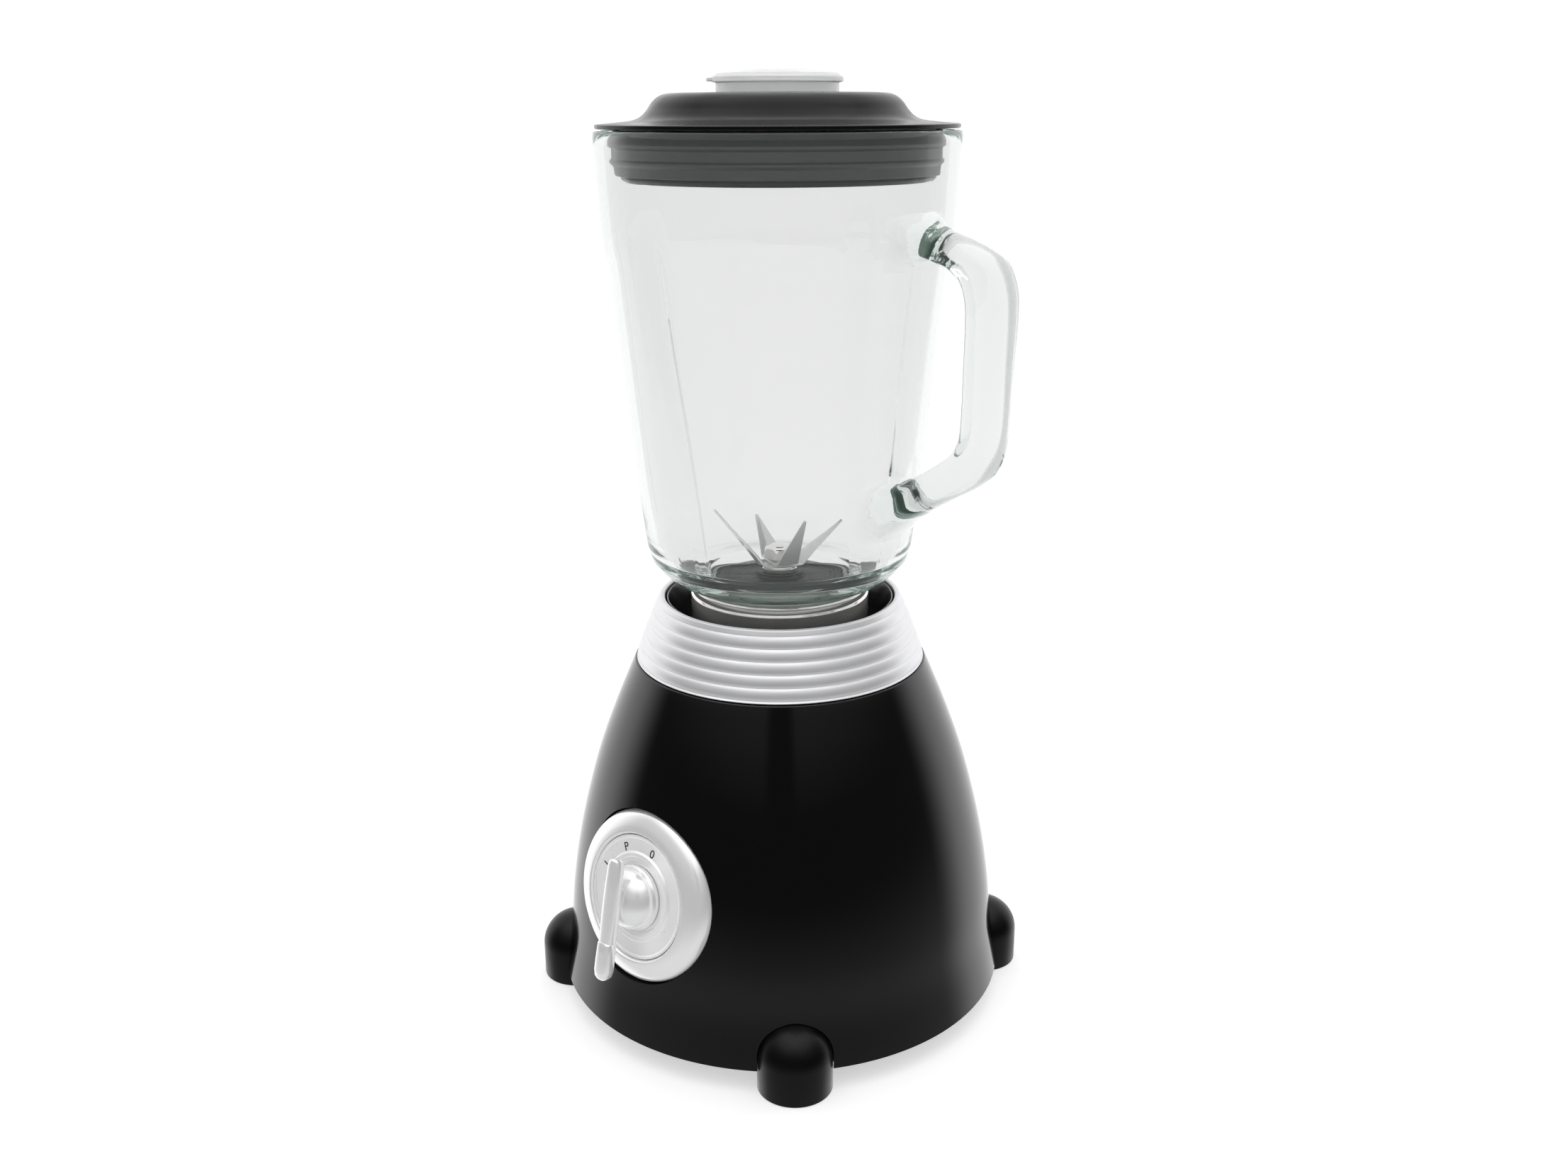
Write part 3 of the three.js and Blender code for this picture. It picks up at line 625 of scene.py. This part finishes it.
def build_marks():
    """Generic switch positions printed on the plate."""
    ring_r, printed_at, size, thickness = 21, -1.34, 5.2, 0.06
    for text, turn in (("0", -16), ("P", 26), ("1", 68)):
        curve = bpy.data.curves.new("mark_" + text, "FONT")
        curve.body = text
        curve.size = size
        curve.align_x = "CENTER"
        curve.align_y = "CENTER"
        curve.extrude = thickness
        source = bpy.data.objects.new("mark_source", curve)
        mesh = bpy.data.meshes.new_from_object(source)
        bpy.data.objects.remove(source)
        lay = Matrix.Rotation(math.radians(turn), 4, "Z") @ Matrix.Translation((0, ring_r, printed_at))
        mesh.transform(Matrix.Translation(AXIS) @ Matrix.Scale(MM, 4) @ DIAL_PLACE @ lay)
        finish_piece(placed("mark_" + text, mesh), "base", "moulded_black", MOULDED_BLACK)


# ---- jug ----------------------------------------------------------------
NECK_R, NECK_BORE = 35, 31
JUG_OUTSIDE = [(NECK_R, NECK_LOW), (NECK_R, 188.4), (37.5, 190.9), (45.5, 192.6), (51, 196.8),
               (55.2, 202), (56.9, 208.5), (60.6, 238.4), (68.2, 315.4), (70.8, 333), (72, 347.3),
               (73.4, 374)]
JUG_INSIDE = [(69.2, 374), (67.9, 347.3), (66.8, 333), (64.3, 315.4), (56.6, 238.4), (52.8, 210),
              (50.4, 204.5), (45, 199.5), (36, 196.2), (NECK_BORE, 193), (NECK_BORE, NECK_LOW)]
WALL_FROM, FLOOR_FROM = 7, 5        # where those outlines change between the wall and the foot or floor


def smoothstep(low, high, value):
    """Zero below low, one above high, smooth between them."""
    t = min(1, max(0, (value - low) / (high - low)))
    return t * t * (3 - 2 * t)


def jug_radius(side, z):
    """Radius of the outline at height z, by straight spans."""
    for (r0, z0), (r1, z1) in zip(side, side[1:]):
        if min(z0, z1) <= z <= max(z0, z1) and z0 != z1:
            return r0 + (r1 - r0) * (z - z0) / (z1 - z0)
    return side[-1][0]


def jug_columns(z):
    """Azimuths of the mesh columns at height z, and how far each stands inwards.

    The ribs narrow and lean towards the floor, and so do the columns beside them."""
    rib_half, flank_steps, between = 7, 6, 20
    grown = smoothstep(205, 330, z)
    narrow = (3 + 4 * grown) / 7
    half, foot, crest = rib_half * narrow, 1.5, 0.5
    flank = [(foot + (crest - foot) * k / flank_steps, smoothstep(0, flank_steps, k))
             for k in range(flank_steps + 1)]
    profile = [(-offset, rise) for offset, rise in flank] + flank[::-1]
    shown = narrow * smoothstep(348, 326, z) * smoothstep(203, 214, z)
    middles = [low + (top - low) * grown for top, low, _ in RIBS]
    columns = []
    for (_, _, height), middle, after in zip(RIBS, middles, middles[1:] + [middles[0] + 360]):
        columns += [(middle + offset * half, rise * height * shown) for offset, rise in profile]
        start, end = middle + foot * half, after - foot * half
        columns += [(start + (end - start) * k / between, 0) for k in range(1, between)]
    return columns


def build_jug_wall():
    """The glass without its handle: a round outside, and an inside with ribs."""
    rim = rounded([JUG_OUTSIDE[-1], (73.0, RIM_Z, 1.1), (69.9, RIM_Z, 1.1), JUG_INSIDE[0]], 6)[1:-1]
    foot = softened(JUG_OUTSIDE[:WALL_FROM + 1], 2.4)
    outside = [*foot, *flowing(JUG_OUTSIDE[WALL_FROM:], 6)[1:]]
    floor = softened(JUG_INSIDE[FLOOR_FROM:], 3)
    inside = [*flowing(JUG_INSIDE[:FLOOR_FROM + 1], 10)[:-1], *floor]
    rows = [(p, False) for p in [*outside, *rim]] + [(p, True) for p in inside]
    verts = []
    for p, ribbed in rows:
        for azimuth, rise in jug_columns(p[1] if ribbed else RIM_Z):
            r, turn = p[0] - rise, math.radians(azimuth)
            verts.append((r * math.cos(turn), r * math.sin(turn), p[1]))
    count = len(jug_columns(RIM_Z))
    faces = []
    for i in range(len(rows)):
        j = (i + 1) % len(rows)
        for k in range(count):
            n = (k + 1) % count
            faces.append((i * count + k, i * count + n, j * count + n, j * count + k))
    return new_object("jug_body", verts, faces, 50)


HANDLE_OUTER = [(98, 336.6), (107.6, 331.6), (112.3, 322), (113, 311), (111.9, 292), (111.1, 272),
                (110, 260.5), (106.3, 251.6), (99.6, 245.8)]
HANDLE_INNER = [(88.6, 327.6), (93.6, 323.6), (96.1, 317), (96.7, 308), (96.6, 292), (96.4, 274),
                (95.2, 265.4), (91.4, 259.2), (85.4, 254.6)]
# roots, from the wall to the grip and back: outer point, inner point, how much wider than the grip
HANDLE_TOP = [((72, 349), (70.6, 325.6), 2.05), ((73.6, 346), (71.6, 328.6), 1.6),
              ((77.6, 343.4), (74.4, 331), 1.24), ((82, 341.6), (77, 331.4), 1.05),
              ((90, 339.2), (82.5, 329.9), 1.0)]
HANDLE_BOTTOM = [((91, 240.8), (78.5, 250), 1.0), ((80, 234.2), (70.5, 245), 1.04),
                 ((71, 228.2), (64.6, 242), 1.24), ((64, 221.6), (61, 242.6), 1.7),
                 ((60, 215), (59.8, 245), 2.2)]


def build_handle():
    """Solid grip: soft-cornered sections along a D, spreading where they meet the wall."""
    half_width, past_middle = 10, 0.4
    grip = [(o, i, 1.0) for o, i in zip(flowing(HANDLE_OUTER, 4), flowing(HANDLE_INNER, 4))]
    rows = [*HANDLE_TOP, *grip, *HANDLE_BOTTOM]
    sections = []
    for number, (a, b, widen) in enumerate(rows):
        a, b = Vector(a), Vector(b)
        middle, arm = (a + b) / 2, (a - b) / 2
        ring = []
        for along, side in soft_square(28, 3.0):
            p = middle + arm * along
            across = side * half_width * widen
            x = p.x
            if number in (0, len(rows) - 1):        # the ends lie inside the wall
                wall = (jug_radius(JUG_OUTSIDE, p.y) + jug_radius(JUG_INSIDE, p.y)) / 2 + past_middle
                x = math.sqrt(wall * wall - across * across)
            ring.append(Vector((x, across, p.y)))
        sections.append(ring)
    return loft("grip", sections, None, 50)


def build_jug():
    """Glass with its handle, the bright collar under it, and the blade carrier in two colours."""
    wall = build_jug_wall()
    combine(wall, [build_handle()], "UNION", 50)
    finish_piece(wall, "jug", "jug_glass", GLASS, "glass_jug")
    low, top = heights("jar_collar")
    outer = reach("jar_collar")
    step_r, ledge_r, ledge_low, ledge_top = outer - 0.9, 26.5, 171.5, 174.8
    collar = revolve("collar_nut", rounded([
        (outer, low, 0.6), (outer, top - 3.4, 0.5), (step_r, top - 2.6, 0.4), (step_r, top, 0.6),
        (35.9, top, 0.4), (35.9, ledge_top), (ledge_r, ledge_top), (ledge_r, ledge_low, 0.5),
        (35.6, ledge_low), (35.6, low),
    ]), FINE)
    ways = [block("way", 37.2, 45, -5, 5, 150, 178, turn) for turn in CORNERS.values()]
    combine(collar, ways, "DIFFERENCE")
    finish_piece(collar, "jug", "jar_collar_chrome", JAR_CHROME, "jar_collar")
    bore, bore_out, face, groove, under = 6.6, 10, 189.6, 189.1, 180.6
    seat = revolve("blade_seat", rounded([
        (bore_out, 187.2), (28.4, 187.2), (28.4, 189.3, 0.3), (24.6, face, 0.3), (24.2, groove, 0.3),
        (22.8, groove, 0.3), (22.4, face, 0.3), (11, face, 0.6), (bore_out, 191, 0.5), (bore, 191),
        (bore, under), (bore_out, under),
    ], 3), FINE)
    finish_piece(seat, "jug", "lid_black", LID_BLACK, "blade_carrier")
    skirt = revolve("blade_seat_skirt", rounded([
        (34.8, 175.2), (34.8, 178, 0.4), (30.4, 178, 0.4), (30.4, 189, 0.6), (28.5, 189.4, 0.3),
        (28.5, 187.1), (bore_out + 0.1, 187.1), (bore_out + 0.1, under), (23, under), (23, 175.2),
    ], 3), FINE)
    finish_piece(skirt, "jug", "rubber_black", SILICONE)


# ---- blades -------------------------------------------------------------
BLADE_REACH, BLADE_BEND, BLADE_THICK, BLADE_BORE = 29, 8, 1.4, 3.3


def blade_arm_path(level, rise, sign):
    """Middle line of one arm: flat near the hub, bent up in a small curve."""
    return [(sign * x, z) for x, z in flowing([
        (BLADE_BEND - 2.5, level), (BLADE_BEND, level + 0.25),
        (BLADE_BEND + 2.2, level + 1.9 * rise / 16), (BLADE_REACH, level + rise),
    ], 4)]


def build_blade(name, node, turn, level, rises, root):
    """Two arms of strip steel, ground to an edge on opposite sides, pointed at the tips."""
    tip_half, sweep, thinning, grind_width = 0.7, 0.35, 0.35, 2.2
    left = blade_arm_path(level, rises[0], -1)[::-1]
    right = blade_arm_path(level, rises[1], 1)
    path = [Vector(p) for p in left + right]
    sections = []
    for i, p in enumerate(path):
        along = (path[min(i + 1, len(path) - 1)] - path[max(i - 1, 0)]).normalized()
        normal = Vector((-along.y, along.x))
        outward = max(0, (abs(p.x) - BLADE_BEND) / (BLADE_REACH - BLADE_BEND))
        half = root * (1 - outward) + tip_half * outward
        shift = sweep * root * outward * (1 if p.x < 0 else -1)
        half_thick = BLADE_THICK / 2 * (1 - thinning * outward)
        grind = min(grind_width, half * 0.9)
        ring = []
        for across, lift in ((-half, -1), (half, -1), (half, -0.2), (half - grind, 1),
                             (-half + grind, 1), (-half, -0.2)):
            side = p + Vector((0, BLADE_THICK / 2)) + normal * lift * half_thick
            ring.append(Vector((side.x, across + shift, side.y)))
        sections.append(ring)
    blade = loft(name, sections, turned(turn), 20)
    combine(blade, [rod("hole", BLADE_BORE, level - 5, level + 8)], "DIFFERENCE", 20)
    finish_piece(blade, "blades", "blade_steel", BLADE_STEEL_PAINTED_REFLECTION, node)


def build_blades():
    """Crossed blades, the spacer under them and the domed hexagon nut on top."""
    azimuth, nut_r = 66, 6.9
    build_blade("blade_low", "lower_blade", azimuth, 195.9, (27, 17), 5.5)
    build_blade("blade_high", "upper_blade", azimuth - 90, 197.9, (13, 24.5), 5)
    spacer = revolve("hub_spacer", rounded([
        (BLADE_BORE, 191.3), (7.6, 191.3, 0.4), (7.6, 194, 0.3), (6.9, 194.4, 0.3), (6.9, 195.6, 0.3),
        (BLADE_BORE, 195.6),
    ]), SMALL)
    finish_piece(spacer, "blades", "blade_steel", HUB_STEEL, "blade_spacer")
    flats = [(nut_r * math.cos(math.pi / 3 * k), nut_r * math.sin(math.pi / 3 * k)) for k in range(6)]
    nut = loft("hub_nut", [[Vector((x, y, z)) for x, y in flats] for z in (199.8, 205.6)], None, 30)
    dome = revolve("dome", [(0, 199), (6.4, 199.4), (nut_r, 200.3), (nut_r, 202.6), (6.3, 204.0),
                            (5.2, 204.6), (4.6, 204.7), *ellipse_top(4.5, 204.8, 205.5, 6)], SMALL)
    combine(nut, [dome], "INTERSECT", 30)
    combine(nut, [rod("bore", BLADE_BORE, 198, 203.8)], "DIFFERENCE", 30)
    finish_piece(nut, "blades", "blade_steel", HUB_STEEL, "blade_nut")


# ---- safety pin's spring ------------------------------------------------
def build_spring():
    """Open turns of round wire."""
    low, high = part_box("interlock_spring")
    wire, turns, steps, around, pressed = 0.4, 3, 72, 10, 0.42
    coil_r = reach("interlock_spring") - wire
    foot = ((low + high) / 2 - AXIS) / MM
    foot.z = low.z / MM + wire
    rise = (high.z - low.z) / MM - 2 * wire
    sections = []
    for i in range(steps + 1):
        turn = 2 * math.pi * turns * i / steps
        out = Vector((math.cos(turn), math.sin(turn), 0))
        middle = foot + out * coil_r + Vector((0, 0, rise * i / steps))
        sections.append([middle + out * wire * math.cos(a) + Vector((0, 0, wire * math.sin(a)))
                         for a in angles(around)])
    spring = loft("pin_spring", sections, None, 60)
    finish_piece(spring, "base", "plain_steel", PLAIN_STEEL, "interlock_spring")
    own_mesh(spring)


# ---- lid ----------------------------------------------------------------
def build_lid():
    """Raised lid with its plug, a well for the cap, and the ribbed seal round the plug."""
    flange_r, well_r, plug_r = reach("lid"), 25, 60
    crown = flowing([(71.4, 378.9), (64, 379.5), (57.6, 380.3), (54.2, 381.7), (51.7, 384.2),
                     (49.5, 387.2), (46.7, 389.4), (43, 390.4), (36, LID_TOP)], 5)
    flange = rounded([(63, 377), (flange_r, 377.2, 0.6), (flange_r, 378.8, 0.6), (66, 379.3)], 4)[1:-1]
    underside = rounded([
        (36, LID_TOP), (well_r, LID_TOP, 0.8), (well_r, 374), (23, 374), (23, 372), (27.2, 372),
        (27.2, 388), (43.6, 388), (50, 379.4), (plug_r, 377.6), (plug_r, LID_LOW, 0.4),
        (61.4, LID_LOW, 0.5), (62.8, 358.8, 0.6),
    ], 4)[1:]
    lid = revolve("lid_shell", [(63, 377), *flange, *crown, *underside], FINE, crease=40)
    finish_piece(lid, "lid", "lid_black", LID_BLACK, "lid")
    bore, groove = 63.3, 65.9
    seal = revolve("seal_sleeve", rounded([
        (bore, SEAL_LOW), (64.9, SEAL_LOW, 0.5), (65.3, 363.4, 0.4), (66.8, 364.6, 0.5),
        (67, 365.4, 0.4), (groove, 366.2, 0.4), (groove, 369.8, 0.5), (67.6, 370.6, 0.4),
        (67.8, 371.6, 0.4), (66, 373.6, 0.6), (65.4, SEAL_TOP, 0.4), (bore, SEAL_TOP),
    ], 4), FINE, crease=50)
    finish_piece(seal, "lid", "seal_black", SEAL_BLACK, "lid_seal")


def build_cap():
    """Clear cup, open below, with a thumb tab on its flange."""
    inner, outer, flange = 22.4, 24.4, 26.1
    cup = revolve("cap_cup", rounded([
        (0, CAP_TOP - 2), (15, 397.2, 2), (inner, 395.6, 1.5), (inner, CAP_LOW), (outer, CAP_LOW, 0.4),
        (outer, 394.2, 0.3), (flange, 394.6, 0.3), (flange, 396.4, 0.7), (24, 397.8, 1.5),
        (15, 399.2, 6), (0, CAP_TOP),
    ], 6), MEDIUM, crease=40)
    low, high, edge, half, turn = 394.8, 396.2, 0.3, 9, 221
    side = [(22.6, half), (25.4, 6.6), (27.2, 4), (28.0, 1.4)]
    outline = [*[(x, -y) for x, y in side], *side[::-1]]
    rows = [(low, edge), (low + edge, 0), (high - edge, 0), (high, edge)]
    tab = loft("tab", [
        [Vector((x - cut, y * (1 - cut / half), z)) for x, y in outline] for z, cut in rows
    ], turned(turn))
    combine(cup, [tab], "UNION", 40)
    finish_piece(cup, "cap", "cap_clear", CLEAR, "measuring_cap")


# ---- pieces kept as the frame has them ----------------------------------
KEPT = {
    MOULDED_BLACK: ["bottom_cover", "rotary_switch", "micro_switch", "interlock_pin", "cooling_fan",
                    "driven_coupling"],
    SILICONE: ["jug_gasket"],
    RUBBER: ["shaft_seal", "motor_mount_right", "motor_mount_left"],
    BLADE_STEEL_PAINTED_REFLECTION: ["blade_shaft"],
    PLAIN_STEEL: ["stator_core", "armature_core", "motor_shaft", "upper_bearing", "lower_bearing",
                  "knob_spindle", "drive_coupling", *["base_screw_" + c for c in CORNERS]],
    COPPER: ["field_coil_right", "field_coil_left", "armature_winding_upper", "armature_winding_lower",
             "commutator"],
    ALLOY: ["upper_bracket", "lower_bracket", "blade_bush"],
    IVORY: ["brush_holder_back", "brush_holder_front"],
    CARBON: ["carbon_brush_back", "carbon_brush_front"],
}


def dress_kept_nodes():
    for material, names in KEPT.items():
        for name in names:
            NODES[name].data.materials.clear()
            NODES[name].data.materials.append(material)


# ---- studio -------------------------------------------------------------
VIEW_AZIMUTH = math.radians(41.8)      # from -Y towards +X
TOWARDS_CAMERA = Vector((math.sin(VIEW_AZIMUTH), -math.cos(VIEW_AZIMUTH), 0))


def add_camera():
    """Seen from the front right and a little above; the place is in metres."""
    distance, height = 0.6217, 0.3851
    down, yaw, roll = math.radians(17.81), math.radians(0.17), math.radians(-0.22)
    data = bpy.data.cameras.new("camera")
    data.sensor_width = 36
    data.lens = 34.37
    camera = placed("camera", data)
    camera.location = AXIS + TOWARDS_CAMERA * distance + Vector((0, 0, height))
    heading = Matrix.Rotation(VIEW_AZIMUTH - yaw, 4, "Z")
    tilt = Matrix.Rotation(math.pi / 2 - down, 4, "X")
    camera.rotation_euler = (heading @ tilt @ Matrix.Rotation(roll, 4, "Z")).to_euler()
    bpy.context.scene.camera = camera


def first_mirror(nodes, links):
    """One where a ray has been mirrored without first going through something clear."""
    path = nodes.new("ShaderNodeLightPath")
    outside = nodes.new("ShaderNodeMath")
    outside.operation = "LESS_THAN"
    outside.inputs[1].default_value = 0.5
    links.new(path.outputs["Transmission Depth"], outside.inputs[0])
    both = nodes.new("ShaderNodeMath")
    both.operation = "MULTIPLY"
    links.new(outside.outputs[0], both.inputs[0])
    links.new(path.outputs["Is Glossy Ray"], both.inputs[1])
    return both.outputs[0]


def add_floor():
    """Pale floor, partly lit by itself, that polished surfaces don't mirror."""
    size, pale, mottled = 3, (0.6, 0.6, 0.6), (0.585, 0.585, 0.585)
    mesh = bpy.data.meshes.new("floor")
    corners = [(-size, -size, 0), (size, -size, 0), (size, size, 0), (-size, size, 0)]
    mesh.from_pydata(corners, [], [(0, 1, 2, 3)])
    floor = placed("floor", mesh)
    s = Shader("floor_pale", pale, 0.7, Specular_IOR_Level=0.2, Emission_Color=(1, 1, 1, 1),
               Emission_Strength=0.5)
    s.vary_color(s.noise(3, 2), mottled)
    mesh.materials.append(s.material)
    floor.visible_glossy = False


def add_area(name, place, target, size, power):
    """Rectangular soft light facing the target."""
    data = bpy.data.lights.new(name, "AREA")
    data.shape = "RECTANGLE"
    data.size, data.size_y = size
    data.energy = power
    light = placed(name, data)
    light.location = place
    light.rotation_euler = (Vector(target) - Vector(place)).to_track_quat("-Z", "Y").to_euler()


def add_world():
    """Pale surround. Glossy surfaces mirror a dim front with a dark gap in it, and a bright back."""
    world = bpy.data.worlds.new("studio")
    bpy.context.scene.world = world
    world.use_nodes = True
    world.cycles.sampling_method = "NONE"
    nodes, links = world.node_tree.nodes, world.node_tree.links

    def node(kind, setting, value, *inputs):
        made = nodes.new(kind)
        setattr(made, setting, value)
        for socket, source in inputs:
            if hasattr(source, "links"):
                links.new(source, made.inputs[socket])
            else:
                made.inputs[socket].default_value = source
        return made

    def smooth(source, start, end, low, high):
        return node("ShaderNodeMapRange", "interpolation_type", "SMOOTHSTEP",
                    ("Value", source), ("From Min", start), ("From Max", end),
                    ("To Min", low), ("To Max", high)).outputs["Result"]

    def blend(factor, first, second):
        mix_factor, mix_a, mix_b = 0, 2, 3        # a Mix node's number sockets
        return node("ShaderNodeMix", "data_type", "FLOAT",
                    (mix_factor, factor), (mix_a, first), (mix_b, second)).outputs[0]

    def math_node(kind, operation, first, second=None):
        inputs = [(0, first)] if second is None else [(0, first), (1, second)]
        return node(kind, "operation", operation, *inputs).outputs

    direction = nodes.new("ShaderNodeTexCoord").outputs["Generated"]
    level = math_node("ShaderNodeVectorMath", "MULTIPLY", direction, (1, 1, 0))[0]
    level = math_node("ShaderNodeVectorMath", "NORMALIZE", level)[0]
    front = math_node("ShaderNodeVectorMath", "DOT_PRODUCT", level, TOWARDS_CAMERA)["Value"]
    split = nodes.new("ShaderNodeSeparateXYZ")
    links.new(direction, split.inputs[0])
    height = split.outputs["Z"]
    low_front = smooth(height, -0.6, -0.05, 0.5, 0.07)
    high_front = smooth(height, 0.15, 0.5, 0.0, 0.2)
    ceiling = smooth(height, 0.5, 0.85, 0.0, 0.95)
    gap = smooth(front, 0.98, 0.995, 1.0, 0.0)
    total = math_node("ShaderNodeMath", "MULTIPLY", high_front, gap)[0]
    total = math_node("ShaderNodeMath", "ADD", total, low_front)[0]
    total = math_node("ShaderNodeMath", "ADD", total, ceiling)[0]
    bright_back, seen, lighting, seen_through = 1.15, 1.05, 1.1, 1.15
    mirrored = blend(smooth(front, -0.5, 0.01, 1.0, 0.0), total, bright_back)
    path = nodes.new("ShaderNodeLightPath")
    strength = blend(path.outputs["Is Diffuse Ray"], seen, lighting)
    strength = blend(path.outputs["Is Transmission Ray"], strength, seen_through)
    strength = blend(path.outputs["Is Glossy Ray"], strength, bright_back)
    strength = blend(first_mirror(nodes, links), strength, mirrored)
    links.new(strength, nodes["Background"].inputs["Strength"])
    nodes["Background"].inputs["Color"].default_value = (1, 1, 1, 1)


def add_studio():
    """Camera, floor, surround and one large soft light overhead."""
    softbox_height, softbox_size, softbox_power = 1.6, (1.6, 1.6), 4
    add_camera()
    add_floor()
    add_world()
    add_area("softbox_top", AXIS + Vector((0, 0, softbox_height)), AXIS, softbox_size, softbox_power)
    bpy.context.scene.view_settings.view_transform = "Standard"
    paths = bpy.context.scene.cycles        # enough bounces for light to get out of the thick glass
    paths.max_bounces, paths.glossy_bounces, paths.transmission_bounces = 32, 24, 24


# ---- everything ---------------------------------------------------------
add_studio()
build_housing()
build_collar()
build_seat()
build_feet()
build_gland()
build_dial()
build_knob()
build_marks()
build_jug()
build_blades()
build_spring()
build_lid()
build_cap()
dress_kept_nodes()
